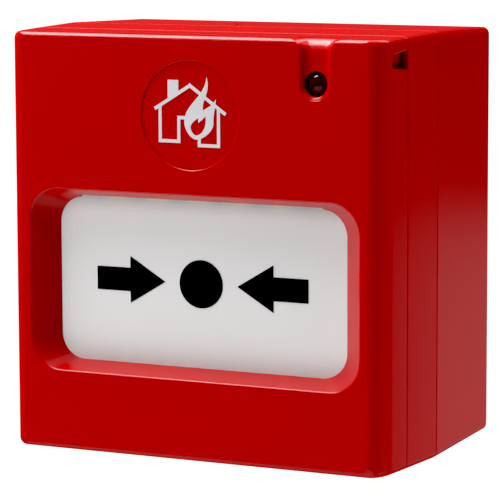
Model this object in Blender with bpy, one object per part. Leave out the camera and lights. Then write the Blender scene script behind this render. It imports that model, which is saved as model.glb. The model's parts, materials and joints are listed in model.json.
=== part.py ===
"""Manual call point: a surface-mounted fire-alarm call point with a resettable element.

Every length is in metres.  The origin is the centre of the face that lies on the wall,
+X points to the viewer's right, +Y into the wall and +Z up.  Depths are counted from the
plane of the front face, and y_of() turns them into Y.
"""

import math

import bmesh
import bpy
from mathutils import Matrix, Vector

# ---------------------------------------------------------------- driving dimensions

DEPTH = 0.0595                  # front face to wall
COVER_SEAM = 0.0125             # depth of the seam between front cover and base plate
BOX_SEAM = 0.028                # depth of the seam between base plate and back box
OUTSIDE = (                     # depth, half width, half height of the outside
    (0.0, 0.0449, 0.0459),
    (COVER_SEAM, 0.0452, 0.0462),
    (BOX_SEAM, 0.0455, 0.0465),
    (DEPTH, 0.0447, 0.0457),
)
CORNER = 0.0015                 # outside corner radius, seen from the front
INNER_CORNER = 0.0005
SIDE_FILLET = 0.0036            # front edge fillet at the left and right, and how deep it runs
SIDE_REACH = 0.005
END_FILLET = 0.001              # front edge fillet at the top and bottom
GAP = 0.0003                    # clearance between neighbouring pieces
WALL = 0.0024                   # wall of the cover and the base plate
FRONT_WALL = 0.002
LIP = 0.001                     # what is left of the base plate's wall outside the lap joint
LAP = 0.0021                    # how far the cover's tongue reaches past the seam

WINDOW_HALF = 0.0398            # press window where it meets the front face
WINDOW_LOW, WINDOW_HIGH = -0.0283, 0.0119
WINDOW_CORNER = 0.007
WINDOW_DEPTH = 0.0047           # depth of the funnel's inner edge
FUNNEL_SIDE = 0.0049            # how far each funnel wall comes in over that depth
FUNNEL_BOTTOM = 0.0019
FUNNEL_TOP = 0.002
FUNNEL_CORNER = 0.0012

RECESS_RADIUS = 0.01175         # round recess that holds the pictogram
RECESS_Z = 0.029
RECESS_DEPTH = 0.0005

LED_X, LED_Z = 0.0291, 0.0365   # status light
NOTCH_X = LED_X + 0.0003
NOTCH_HALF = 0.0037
NOTCH_DEPTH = 0.0014
LENS_RADIUS = 0.002
LENS_HOLE = 0.0027

HINGE_DEPTH, HINGE_Z = 0.0064, -0.0315      # axis of the operating element
PIN_RADIUS = 0.001
ELEMENT_FRONT = 0.005
ELEMENT_THICKNESS = 0.0016
ELEMENT_HALF = 0.038
ELEMENT_LOW, ELEMENT_HIGH = -0.0286, 0.013
PRINT_THICKNESS = 0.0002
TARGET_Z = -0.0079              # centre line of the printed dot and arrows
DOT_RADIUS = 0.00524

FLAG_HALF = 0.0288
FLAG_LOW, FLAG_HIGH = 0.0106, 0.021
FLAG_FRONT, FLAG_BACK = 0.004, 0.0047

FRAME_FRONT, FRAME_BACK = 0.011, 0.013
FLOOR_FRONT, FLOOR_BACK = 0.026, BOX_SEAM - GAP / 2
POSTS = ((-0.035, -0.037), (0.035, -0.037), (-0.035, 0.019), (0.035, 0.019))
FRAME_SCREWS = (POSTS[0], POSTS[3])

BOARD_FRONT, BOARD_BACK = 0.022, 0.0236
BOARD_SCREWS = ((-0.027, 0.036), (0.027, -0.016))
BOARD_PILLARS = ((-0.027, -0.016), (0.022, 0.036))

BASE_SCREW_X = 0.03015          # half the 60.3 mm spacing of a single wall box
BOX_WALL = 0.0022
BOX_FLOOR = 0.0025
KNOCKOUT_RADIUS = 0.01          # for 20 mm conduit
KNOCKOUT_DEPTH = 0.0438

LEVER_PIVOT = (0.0085, 0.0119)  # x and depth
LEVER_REST = math.radians(8.1)
LEVER_LENGTH = 0.0175
PLUNGER_X = 0.003
SWITCH_TERMINALS = (-0.0065, 0.0, 0.0065)
BLOCK_SCREWS = (-0.015, -0.005, 0.005, 0.015)
BLOCK_SCREW_Z = -0.0115

CAM_DEPTH = 0.0072              # vertical axis of the test cam, at x = 0
SLIDER_X = -0.016
SLIDER_HALF = 0.003
SLIDER_FRONT, SLIDER_BACK = 0.0084, 0.0106
LATCH_X = 0.016
LATCH_HALF = 0.004
LATCH_PIVOT = (0.023, -0.0406)  # depth and z

COLOURS = {                     # base colour, roughness, metallic
    "red_plastic": ((0.50, 0.004, 0.004), 0.38, 0.0),
    "white_plastic": ((0.72, 0.72, 0.70), 0.45, 0.0),
    "white_print": ((0.80, 0.79, 0.80), 0.5, 0.0),
    "black_print": ((0.01, 0.01, 0.01), 0.5, 0.0),
    "yellow_plastic": ((0.80, 0.50, 0.02), 0.4, 0.0),
    "black_plastic": ((0.02, 0.02, 0.02), 0.5, 0.0),
    "grey_plastic": ((0.30, 0.30, 0.31), 0.5, 0.0),
    "dark_lens": ((0.06, 0.0, 0.0), 0.08, 0.0),
    "steel": ((0.60, 0.60, 0.60), 0.3, 1.0),
    "brass": ((0.70, 0.50, 0.22), 0.35, 1.0),
    "circuit_board": ((0.02, 0.16, 0.06), 0.5, 0.0),
    "green_plastic": ((0.03, 0.30, 0.10), 0.5, 0.0),
    "resistor_body": ((0.55, 0.38, 0.20), 0.6, 0.0),
}


# ---------------------------------------------------------------- mesh helpers

def y_of(depth):
    """Y of a plane that lies depth behind the front face."""
    return depth - DEPTH


def make_object(name, mesh_or_curve):
    """Put a mesh or curve into the scene."""
    obj = bpy.data.objects.new(name, mesh_or_curve)
    bpy.context.scene.collection.objects.link(obj)
    return obj


def loft(name, loops):
    """Skin a row of closed loops of equal length and cap both ends."""
    bm = bmesh.new()
    rings = [[bm.verts.new(point) for point in loop] for loop in loops]
    for ring, following in zip(rings, rings[1:]):
        for i, corner in enumerate(ring):
            j = (i + 1) % len(ring)
            bm.faces.new((corner, ring[j], following[j], following[i]))
    bm.faces.new(reversed(rings[0]))
    bm.faces.new(rings[-1])
    bmesh.ops.recalc_face_normals(bm, faces=bm.faces)
    mesh = bpy.data.meshes.new(name)
    bm.to_mesh(mesh)
    bm.free()
    mesh.shade_smooth()
    mesh.set_sharp_from_angle(angle=math.radians(35))
    return make_object(name, mesh)


def spatial(axis, along, u, v):
    """Point that lies at (u, v) across an axis: (y, z), (x, z) or (x, y)."""
    return {"X": (along, u, v), "Y": (u, along, v), "Z": (u, v, along)}[axis]


def prism(name, outline, axis, low, high):
    """Extrude a flat outline along an axis."""
    return loft(name, [[spatial(axis, end, u, v) for u, v in outline] for end in (low, high)])


def circle(radius, centre=(0.0, 0.0), sides=20):
    """Points of a circle."""
    turns = [2 * math.pi * i / sides for i in range(sides)]
    return [(centre[0] + radius * math.cos(t), centre[1] + radius * math.sin(t)) for t in turns]


def cylinder(name, radius, axis, low, high, centre, sides=20):
    """Round bar along an axis."""
    return prism(name, circle(radius, centre, sides), axis, low, high)


def turned(name, profile, axis, centre, sides=20):
    """Solid of revolution from (place along the axis, radius) pairs."""
    loops = []
    for along, radius in profile:
        loops.append([spatial(axis, along, u, v) for u, v in circle(radius, centre, sides)])
    return loft(name, loops)


def box(name, xs, depths, zs):
    """Block between two x, two depths and two z."""
    outline = [(xs[0], zs[0]), (xs[1], zs[0]), (xs[1], zs[1]), (xs[0], zs[1])]
    return prism(name, outline, "Y", y_of(depths[0]), y_of(depths[1]))


def rounded(half_width, low, high, radius, steps=4):
    """Outline of a rounded rectangle that is symmetric about x = 0."""
    across, bottom, top = half_width - radius, low + radius, high - radius
    corners = ((across, bottom, -90), (across, top, 0), (-across, top, 90), (-across, bottom, 180))
    points = []
    for x, z, start in corners:
        for step in range(steps + 1):
            angle = math.radians(start + 90 * step / steps)
            points.append((x + radius * math.cos(angle), z + radius * math.sin(angle)))
    return points


def rounded_plate(name, half_width, low, high, radius, front, back):
    """Rounded rectangular plate between two depths."""
    return prism(name, rounded(half_width, low, high, radius), "Y", y_of(front), y_of(back))


def ring(name, outer, inner, axis, low, high, centre, sides=24):
    """Washer-shaped ring, used to cut round grooves."""
    bm = bmesh.new()
    section = ((low, outer), (high, outer), (high, inner), (low, inner))
    rows = []
    for along, radius in section:
        points = circle(radius, centre, sides)
        rows.append([bm.verts.new(spatial(axis, along, u, v)) for u, v in points])
    for row, following in zip(rows, rows[1:] + rows[:1]):
        for i in range(sides):
            j = (i + 1) % sides
            bm.faces.new((row[i], row[j], following[j], following[i]))
    bmesh.ops.recalc_face_normals(bm, faces=bm.faces)
    mesh = bpy.data.meshes.new(name)
    bm.to_mesh(mesh)
    bm.free()
    return make_object(name, mesh)


def coil(name, radius, wire, turns, axis, low, high, centre, per_turn=12):
    """Helical spring as a bevelled curve, from low to high along an axis."""
    curve = bpy.data.curves.new(name, "CURVE")
    curve.dimensions = "3D"
    curve.bevel_depth = wire
    curve.bevel_resolution = 1
    curve.use_fill_caps = True
    spline = curve.splines.new("POLY")
    count = int(turns * per_turn) + 1
    spline.points.add(count - 1)
    for i, point in enumerate(spline.points):
        angle = 2 * math.pi * i / per_turn
        u = centre[0] + radius * math.cos(angle)
        v = centre[1] + radius * math.sin(angle)
        point.co = (*spatial(axis, low + (high - low) * i / (count - 1), u, v), 1.0)
    return make_object(name, curve)


def combine(target, operation, tools):
    """Add Boolean modifiers to target, and hide the tools they use."""
    for tool in tools:
        tool.hide_render = True
        tool.display_type = "WIRE"
        modifier = target.modifiers.new(tool.name, "BOOLEAN")
        modifier.operation = operation
        modifier.solver = "EXACT"
        modifier.object = tool


def add(target, *tools):
    combine(target, "UNION", tools)


def cut(target, *tools):
    combine(target, "DIFFERENCE", tools)


def material(name):
    """Principled material with this part's colour, made once."""
    found = bpy.data.materials.get(name)
    if found:
        return found
    made = bpy.data.materials.new(name)
    made.use_nodes = True
    shader = made.node_tree.nodes["Principled BSDF"]
    colour, roughness, metallic = COLOURS[name]
    shader.inputs["Base Color"].default_value = (*colour, 1.0)
    shader.inputs["Roughness"].default_value = roughness
    shader.inputs["Metallic"].default_value = metallic
    made.diffuse_color = (*colour, 1.0)
    return made


def axis_empty(name, x, depth, z):
    """Empty on a joint's axis, which the moving pieces hang from."""
    empty = make_object(name, None)
    empty.empty_display_size = 0.005
    empty.location = (x, y_of(depth), z)
    return empty


def finish(obj, colour, origin, parent=None):
    """Colour a piece, move its origin to a point on it and hang it from its joint's empty."""
    place = Vector(origin)
    obj.data.transform(Matrix.Translation(-place))
    obj.location = place
    obj.data.materials.append(material(colour))
    if parent:
        obj.parent = parent
        obj.location = place - parent.location
    for modifier in obj.modifiers:
        modifier.object.parent = obj
        modifier.object.matrix_parent_inverse = Matrix.Translation(-place)
    return obj


# ---------------------------------------------------------------- housing

def outside(depth):
    """Half width and half height of the housing at a depth."""
    for (d0, w0, h0), (d1, w1, h1) in zip(OUTSIDE, OUTSIDE[1:]):
        if depth <= d1:
            break
    share = (depth - d0) / (d1 - d0)
    return w0 + share * (w1 - w0), h0 + share * (h1 - h0)


def shell(name, stations, corner=CORNER):
    """Loft that follows the housing, from (depth, side inset, end inset) stations."""
    loops = []
    for depth, side_inset, end_inset in stations:
        half_width, half_height = outside(depth)
        outline = rounded(half_width - side_inset, end_inset - half_height, half_height - end_inset, corner)
        loops.append([(x, y_of(depth), z) for x, z in outline])
    return loft(name, loops)


def sleeve(name, front, back, inset, corner=INNER_CORNER):
    """Straight stretch of shell() with one inset all round."""
    return shell(name, ((front, inset, inset), (back, inset, inset)), corner)


def fillet_inset(width, depth, reach):
    """How far an elliptic front edge of this width and reach is drawn in at a depth."""
    if depth >= reach:
        return 0.0
    return width * (1 - math.sqrt(1 - (1 - depth / reach) ** 2))


def funnel(name, stations):
    """Loft of the press window, from (depth, side growth, end growth) stations."""
    loops = []
    for depth, side, end in stations:
        share = depth / WINDOW_DEPTH
        outline = rounded(
            WINDOW_HALF - FUNNEL_SIDE * share + side,
            WINDOW_LOW + FUNNEL_BOTTOM * share - end,
            WINDOW_HIGH - FUNNEL_TOP * share + end,
            WINDOW_CORNER - FUNNEL_CORNER * share + (side + end) / 2,
        )
        loops.append([(x, y_of(depth), z) for x, z in outline])
    return loft(name, loops)


def led_notch():
    """Cutter for the notch that runs from the status light to the top face and flares there."""
    flare, top = 0.0018, 0.0461
    right = []
    for step in range(6):
        angle = math.radians(-90 + 18 * step)
        right.append((NOTCH_HALF * math.cos(angle), LED_Z + NOTCH_HALF * math.sin(angle)))
    for step in range(4):
        angle = math.radians(25 * step)
        right.append((NOTCH_HALF + flare * (1 - math.cos(angle)), top - flare * (1 - math.sin(angle))))
    right.append((NOTCH_HALF + flare * (1 - math.cos(math.radians(75))), 0.05))
    outline = [(NOTCH_X + x, z) for x, z in right] + [(NOTCH_X - x, z) for x, z in reversed(right[1:])]
    return prism("led_notch_cutter", outline, "Y", y_of(-0.001), y_of(NOTCH_DEPTH))


def side_pocket(side):
    """Cutter for the pocket beside the seam that takes the pin of a hinged shield."""
    front, back = 0.0047, COVER_SEAM + 0.001
    low, front_high, back_high = 0.0398, 0.0424, 0.0436
    reach, floor = 0.046, outside(COVER_SEAM)[0] - 0.0016
    outline = [
        (y_of(back), low), (y_of(back), back_high), (y_of(front + 0.0010), front_high),
        (y_of(front + 0.0003), front_high - 0.0005), (y_of(front), front_high - 0.0012),
        (y_of(front + 0.0003), low + 0.0005), (y_of(front + 0.0010), low),
    ]
    name = "left" if side < 0 else "right"
    return prism(f"{name}_pocket_cutter", outline, "X", *sorted((side * floor, side * reach)))


def front_cover(hinge):
    """Front shell with the press window, the pictogram recess and the status light's notch."""
    seam = COVER_SEAM - GAP / 2
    fillet_depths = (0.0, 0.0001, 0.0004, 0.001, 0.0021, 0.0034, SIDE_REACH)
    stations = [(d, fillet_inset(SIDE_FILLET, d, SIDE_REACH), fillet_inset(END_FILLET, d, END_FILLET))
                for d in fillet_depths]
    cover = shell("front_cover", stations + [(seam, 0.0, 0.0)])
    add(cover, sleeve("cover_tongue", COVER_SEAM - 0.0015, COVER_SEAM + LAP, LIP + GAP))
    cut(cover, sleeve("cover_hollow", FRONT_WALL, COVER_SEAM + 0.004, WALL))
    add(cover, funnel("window_collar", ((0.001, 0.002, 0.0015), (WINDOW_DEPTH, 0.002, 0.0015))))
    boss_x = (LED_X - 0.0062, LED_X + 0.0062)
    add(cover, box("led_boss", boss_x, (0.001, 0.0044), (0.0298, 0.0442)))
    lip = 0.0005
    stations = ((-0.001, lip, lip), (0.0, lip, lip), (lip, 0.0, 0.0), (0.0055, 0.0, 0.0))
    cut(cover, funnel("window_cutter", stations))
    cut(cover, box("flag_gap_cutter", (-FLAG_HALF - 0.0005, FLAG_HALF + 0.0005),
                   (FLAG_FRONT - GAP, 0.006), (0.0085, 0.014)))
    cut(cover, cylinder("recess_cutter", RECESS_RADIUS, "Y", y_of(-0.001), y_of(RECESS_DEPTH),
                        (0.0, RECESS_Z), sides=40))
    cut(cover, led_notch())
    cut(cover, cylinder("lens_hole_cutter", LENS_HOLE, "Y", y_of(0.001), y_of(0.0055), (LED_X, LED_Z)))
    for side in (-1, 1):
        cut(cover, side_pocket(side))
    floor_z = (-0.05, -0.042)
    cut(cover, cylinder("key_hole_cutter", 0.0032, "Z", *floor_z, (0.0, y_of(CAM_DEPTH))))
    cut(cover, box("key_slot_cutter", (-0.0045, 0.0045), (CAM_DEPTH - 0.0011, CAM_DEPTH + 0.0011), floor_z))
    slot_x = (SLIDER_X - SLIDER_HALF - GAP, SLIDER_X + SLIDER_HALF + GAP)
    cut(cover, box("reset_slot_cutter", slot_x, (SLIDER_FRONT - GAP, SLIDER_BACK + GAP), floor_z))
    latch_x = (LATCH_X - LATCH_HALF - 0.0006, LATCH_X + LATCH_HALF + 0.0006)
    cut(cover, box("latch_slot_cutter", latch_x, (0.0129, 0.016), floor_z))
    return finish(cover, "red_plastic", (0.0, y_of(COVER_SEAM), outside(COVER_SEAM)[1]), hinge)


def base_plate():
    """Middle tray: locates in the back box and carries the frame and the circuit board."""
    plate = sleeve("base_plate", COVER_SEAM + GAP / 2, FLOOR_BACK, 0.0, CORNER)
    cut(plate, sleeve("plate_hollow", COVER_SEAM - 0.001, FLOOR_FRONT, WALL))
    cut(plate, sleeve("plate_rabbet", COVER_SEAM - 0.001, COVER_SEAM + LAP + GAP, LIP))
    rim_outside = BOX_WALL + GAP
    add(plate, sleeve("plate_rim", BOX_SEAM - 0.001, BOX_SEAM + 0.0026, rim_outside))
    cut(plate, sleeve("plate_rim_hollow", FLOOR_BACK, BOX_SEAM + 0.004, rim_outside + 0.0015))
    for x, z in BOARD_SCREWS + BOARD_PILLARS:
        add(plate, cylinder(f"board_pillar_{x:.3f}_{z:.3f}", 0.0028, "Y", y_of(BOARD_BACK + GAP),
                            y_of(FLOOR_FRONT + 0.0005), (x, z), sides=16))
    for side in (-1, 1):
        edge = LATCH_X + side * (LATCH_HALF + 0.0004)
        cheek_x = sorted((edge, edge + side * 0.0012))
        add(plate, box(f"latch_cheek_{side}", cheek_x, (0.0215, 0.0265), (-0.0426, -0.039)))
        cut(plate, cylinder(f"base_screw_hole_{side}", 0.0022, "Y", y_of(0.025), y_of(0.029),
                            (side * BASE_SCREW_X, 0.0), sides=16))
    for x, z in FRAME_SCREWS:
        cut(plate, cylinder(f"frame_screw_hole_{x:.3f}", 0.0016, "Y", y_of(0.025), y_of(0.029),
                            (x, z), sides=12))
    for x, z in BOARD_SCREWS:
        cut(plate, cylinder(f"board_screw_hole_{x:.3f}", 0.0013, "Y", y_of(0.023), y_of(0.027),
                            (x, z), sides=12))
    cut(plate, box("block_opening_cutter", (-0.0215, 0.0215), (0.025, 0.029), (-0.0205, -0.0055)))
    release_x = (LATCH_X - 0.0025, LATCH_X + 0.0025)
    cut(plate, box("latch_release_cutter", release_x, (0.0165, 0.0181), (-0.05, -0.042)))
    return finish(plate, "red_plastic", (0.0, y_of(FLOOR_BACK), 0.0))


def back_box():
    """Surface back box with screw pillars, wall slots and conduit knock-outs."""
    edge = 0.0005
    case = shell("back_box", ((BOX_SEAM + GAP / 2, 0.0, 0.0), (DEPTH - edge, 0.0, 0.0), (DEPTH, edge, edge)))
    inner_floor = DEPTH - BOX_FLOOR
    cut(case, sleeve("box_hollow", BOX_SEAM - 0.001, inner_floor, BOX_WALL))
    for side in (-1, 1):
        centre = (side * BASE_SCREW_X, 0.0)
        add(case, cylinder(f"screw_pillar_{side}", 0.004, "Y", y_of(BOX_SEAM + 2 * GAP),
                           y_of(inner_floor + 0.0005), centre))
        cut(case, cylinder(f"pillar_bore_{side}", 0.00205, "Y", y_of(BOX_SEAM), y_of(0.046),
                           centre, sides=16))
        wall_z = side * outside(KNOCKOUT_DEPTH)[1]
        cut(case, ring(f"knockout_groove_{side}", KNOCKOUT_RADIUS, KNOCKOUT_RADIUS - 0.0007, "Z",
                       *sorted((wall_z - side * 0.0012, wall_z + side * 0.002)), (0.0, y_of(KNOCKOUT_DEPTH))))
        slot = rounded(0.0048 if side > 0 else 0.00225, side * 0.03 - (0.00225 if side > 0 else 0.0048),
                       side * 0.03 + (0.00225 if side > 0 else 0.0048), 0.0022)
        cut(case, prism(f"wall_slot_{side}", slot, "Y", y_of(inner_floor - 0.001), y_of(DEPTH + 0.001)))
    return finish(case, "red_plastic", (0.0, 0.0, 0.0))


# ---------------------------------------------------------------- printed and lit details

def thick_line(start, end, width):
    """Corners of a straight band between two points, square at its ends."""
    (x0, z0), (x1, z1) = start, end
    length = math.hypot(x1 - x0, z1 - z0)
    across = ((z0 - z1) / length * width / 2, (x1 - x0) / length * width / 2)
    return [(x0 + across[0], z0 + across[1]), (x0 - across[0], z0 - across[1]),
            (x1 - across[0], z1 - across[1]), (x1 + across[0], z1 + across[1])]


def flame_outline(scale=1.0, steps=7):
    """Flame about its foot at (0, 0): a round bowl, a long tip and one side tongue."""
    curves = (              # cubic curves, each from the last one's end
        ((0.0, 0.0), (0.0017, 0.0001), (0.0041, 0.0019), (0.0041, 0.0036)),
        ((0.0041, 0.0036), (0.0040, 0.0056), (0.0047, 0.0068), (0.0047, 0.0088)),
        ((0.0047, 0.0088), (0.0039, 0.0074), (0.0028, 0.0070), (0.0016, 0.0063)),
        ((0.0016, 0.0063), (0.0014, 0.0090), (0.0036, 0.0100), (0.0025, 0.0135)),
        ((0.0025, 0.0135), (0.0022, 0.0096), (-0.0017, 0.0080), (-0.0027, 0.0050)),
        ((-0.0027, 0.0050), (-0.0035, 0.0026), (-0.0016, 0.0001), (0.0, 0.0)),
    )
    points = []
    for a, b, c, d in curves:
        for i in range(steps):
            t = i / steps
            weights = ((1 - t) ** 3, 3 * t * (1 - t) ** 2, 3 * t ** 2 * (1 - t), t ** 3)
            corners = list(zip(weights, (a, b, c, d)))
            points.append(tuple(scale * sum(w * p[k] for w, p in corners) for k in (0, 1)))
    return points


def pictogram(hinge):
    """Generic house-on-fire symbol, one flat piece of print."""
    front, back = 0.00005, RECESS_DEPTH - GAP + 0.00005
    line = 0.0008
    eave_left, apex, eave_right = (-0.0082, 0.0304), (0.0, 0.0354), (0.0082, 0.0297)
    left_foot, right_foot, lintel = 0.0234, 0.0227, 0.0285
    walls = (
        (eave_left, apex), (apex, eave_right), ((-0.0072, 0.0306), (-0.0072, left_foot)),
        ((-0.0072, left_foot), (-0.0027, left_foot)), ((-0.0027, left_foot), (-0.0027, lintel)),
        ((-0.0027, lintel), (-0.0008, lintel)), ((0.0068, 0.0303), (0.0068, right_foot)),
        ((0.0068, right_foot), (0.0022, right_foot)), ((0.0022, right_foot), (0.0022, 0.0245)),
    )
    strokes = []
    for i, (start, end) in enumerate(walls):
        grown = Vector(end) - Vector(start)
        grown.length = line / 2
        outline = thick_line(Vector(start) - grown, Vector(end) + grown, line)
        strokes.append(prism(f"pictogram_stroke_{i}", outline, "Y", y_of(front), y_of(back)))
    chimney = thick_line((-0.00405, 0.0331), (-0.00405, 0.0365), 0.0026)
    strokes.append(prism("pictogram_chimney", chimney, "Y", y_of(front), y_of(back)))
    flame_foot = (0.0015, 0.0239)
    flame = [(flame_foot[0] + x, flame_foot[1] + z) for x, z in flame_outline()]
    print_body = prism("pictogram_print", flame, "Y", y_of(front), y_of(back))
    add(print_body, *strokes)
    bowl = [(flame_foot[0] + x, flame_foot[1] + 0.0010 + z) for x, z in flame_outline(0.5)]
    cut(print_body, prism("flame_bowl_cutter", bowl, "Y", y_of(front - 0.001), y_of(back + 0.001)))
    return finish(print_body, "white_print", (0.0, y_of(back), RECESS_Z), hinge)


def led_lens(hinge):
    """Dome and light guide of the status light."""
    profile = (
        (0.00095, 0.0004), (0.00105, 0.0010), (0.0013, 0.0015), (0.0017, 0.00185),
        (0.0023, LENS_RADIUS), (0.0047, LENS_RADIUS), (0.0047, 0.003), (0.0055, 0.003),
        (0.0055, 0.0016), (0.0074, 0.0016),
    )
    lens = turned("led_lens", [(y_of(d), r) for d, r in profile], "Y", (LED_X, LED_Z), sides=20)
    return finish(lens, "dark_lens", (LED_X, y_of(0.0047), LED_Z), hinge)


def target_prints(hinge):
    """Black dot between two arrows, printed on the operating element."""
    back = ELEMENT_FRONT - GAP
    front = back - PRINT_THICKNESS
    centre = (0.0, TARGET_Z)
    dot = cylinder("print_dot", DOT_RADIUS, "Y", y_of(front), y_of(back), centre, sides=40)
    finish(dot, "black_print", (0.0, y_of(back), TARGET_Z), hinge)
    tail, neck, tip = 0.0256, 0.01735, 0.00875
    half_tail, half_head = 0.00258, 0.00514
    for side, name in ((-1, "print_arrow_left"), (1, "print_arrow_right")):
        upper = [(tail, half_tail), (neck, half_tail), (neck, half_head), (tip, 0.0)]
        outline = upper + [(x, -z) for x, z in reversed(upper[:-1])]
        points = [(side * x, TARGET_Z + z) for x, z in outline]
        arrow = prism(name, points, "Y", y_of(front), y_of(back))
        finish(arrow, "black_print", (side * neck, y_of(back), TARGET_Z), hinge)


# ---------------------------------------------------------------- operating element and flag

def operating_element(hinge):
    """Plate behind the window, with two hinge knuckles, ribs and the switch boss."""
    back = ELEMENT_FRONT + ELEMENT_THICKNESS
    plate = rounded_plate("operating_element", ELEMENT_HALF, ELEMENT_LOW, ELEMENT_HIGH, 0.002,
                          ELEMENT_FRONT, back)
    axis = (y_of(HINGE_DEPTH), HINGE_Z)
    for side in (-1, 1):
        xs = sorted((side * 0.0255, side * 0.0305))
        add(plate, box(f"knuckle_arm_{side}", xs, (ELEMENT_FRONT + 0.0002, HINGE_DEPTH + 0.0014),
                       (HINGE_Z, ELEMENT_LOW + 0.002)))
        add(plate, cylinder(f"knuckle_{side}", 0.0019, "X", *xs, axis, sides=16))
        cut(plate, cylinder(f"knuckle_bore_{side}", PIN_RADIUS + GAP, "X", xs[0] - 0.001, xs[1] + 0.001,
                            axis, sides=16))
    for z in (-0.02, 0.008):
        add(plate, box(f"element_rib_{z:.3f}", (-0.022, 0.022), (back - 0.0002, back + 0.0014),
                       (z - 0.0005, z + 0.0005)))
    add(plate, cylinder("switch_boss", 0.0025, "Y", y_of(back - 0.0005), y_of(0.0089),
                        (-0.008, 0.0), sides=16))
    return finish(plate, "white_plastic", (0.0, *axis), hinge)


def element_pin():
    pin = cylinder("element_hinge_pin", PIN_RADIUS, "X", -0.035, 0.035, (y_of(HINGE_DEPTH), HINGE_Z),
                   sides=12)
    return finish(pin, "steel", (0.0, y_of(HINGE_DEPTH), HINGE_Z))


def element_spring():
    """Snap spring around the hinge pin."""
    centre = (y_of(HINGE_DEPTH), HINGE_Z)
    spring = coil("element_spring", 0.00165, 0.00025, 4, "X", 0.0195, 0.0235, centre)
    return finish(spring, "steel", (0.0215, *centre))


def alarm_flag(guide):
    """Band that drops into the top of the window after an alarm."""
    flag = rounded_plate("alarm_flag", FLAG_HALF, FLAG_LOW, FLAG_HIGH, 0.0006, FLAG_FRONT, FLAG_BACK)
    tab_z = (FLAG_HIGH - 0.001, FLAG_HIGH + 0.003)
    add(flag, box("flag_tab", (-0.004, 0.004), (FLAG_FRONT, FLAG_BACK), tab_z))
    return finish(flag, "yellow_plastic", guide.location, guide)


# ---------------------------------------------------------------- mechanism frame

def hinge_lug(side):
    """Ear of the frame that holds one end of the element's pin."""
    radius = 0.0023
    outline = [(y_of(FRAME_FRONT + 0.0005), HINGE_Z - radius), (y_of(FRAME_FRONT + 0.0005), HINGE_Z + radius)]
    for step in range(9):
        angle = math.radians(90 + 22.5 * step)
        outline.append((y_of(HINGE_DEPTH) + radius * math.cos(angle), HINGE_Z + radius * math.sin(angle)))
    return prism(f"hinge_lug_{side}", outline, "X", *sorted((side * 0.0315, side * 0.0345)))


def mechanism_frame():
    """Chassis plate on four posts, with the guides of every moving piece."""
    into_plate = FRAME_FRONT + 0.0005
    frame = rounded_plate("mechanism_frame", 0.038, -0.04, 0.022, 0.003, FRAME_FRONT, FRAME_BACK)
    cut(frame, rounded_plate("frame_window_cutter", 0.024, -0.024, 0.012, 0.002, 0.01, 0.014))
    for x, z in POSTS:
        add(frame, cylinder(f"frame_post_{x:.3f}_{z:.3f}", 0.0026, "Y", y_of(FRAME_BACK - 0.0005),
                            y_of(FLOOR_FRONT - GAP), (x, z), sides=16))
    for x, z in FRAME_SCREWS:
        cut(frame, cylinder(f"post_bore_{x:.3f}", 0.0016, "Y", y_of(0.01), y_of(0.027), (x, z), sides=12))
    for side in (-1, 1):
        add(frame, hinge_lug(side))
        xs = sorted((side * 0.0276, side * 0.032))
        add(frame, box(f"flag_guide_{side}", xs, (0.003, into_plate), (0.0142, 0.021)))
        groove = sorted((side * 0.027, side * (FLAG_HALF + GAP)))
        cut(frame, box(f"flag_groove_{side}", groove, (FLAG_FRONT - GAP, FLAG_BACK + GAP), (0.013, 0.022)))
        cut(frame, cylinder(f"driver_access_{side}", 0.0042, "Y", y_of(0.01), y_of(0.014),
                            (side * BASE_SCREW_X, 0.0), sides=16))
    cut(frame, cylinder("pin_bore", PIN_RADIUS + GAP, "X", -0.04, 0.04, (y_of(HINGE_DEPTH), HINGE_Z),
                        sides=12))
    slider_x = (SLIDER_X - SLIDER_HALF, SLIDER_X + SLIDER_HALF)
    add(frame, box("slider_guide", (slider_x[0] - 0.0015, slider_x[1] + 0.0015),
                   (SLIDER_FRONT - 0.0012, into_plate), (-0.039, -0.036)))
    cut(frame, box("slider_guide_hole", (slider_x[0] - GAP, slider_x[1] + GAP),
                   (SLIDER_FRONT - GAP, SLIDER_BACK + GAP), (-0.0395, -0.0355)))
    add(frame, box("spring_seat", slider_x, (0.0078, into_plate), (-0.0254, -0.0241)))
    cam_centre = (0.0, y_of(CAM_DEPTH))
    add(frame, box("cam_bracket_arm", (-0.003, 0.003), (CAM_DEPTH, into_plate), (-0.0362, -0.0346)))
    add(frame, cylinder("cam_bracket", 0.0042, "Z", -0.0362, -0.0346, cam_centre))
    cut(frame, cylinder("cam_bracket_bore", 0.0025, "Z", -0.037, -0.034, cam_centre))
    return finish(frame, "black_plastic", (0.0, y_of(FRAME_BACK), 0.0))


def reset_slider(guide):
    """Bar pushed up by the key to set the element again."""
    xs = (SLIDER_X - SLIDER_HALF, SLIDER_X + SLIDER_HALF)
    slider = box("reset_slider", xs, (SLIDER_FRONT, SLIDER_BACK), (-0.0429, -0.032))
    add(slider, box("slider_shoulder", (xs[0] - 0.001, xs[1] + 0.001), (SLIDER_FRONT, SLIDER_BACK),
                    (-0.0335, -0.032)))
    return finish(slider, "grey_plastic", guide.location, guide)


def reset_spring():
    spring = coil("reset_spring", 0.00115, 0.0002, 5, "Z", -0.0314, -0.026, (SLIDER_X, y_of(0.0092)),
                  per_turn=10)
    return finish(spring, "steel", (SLIDER_X, y_of(0.0092), -0.026))


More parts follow.
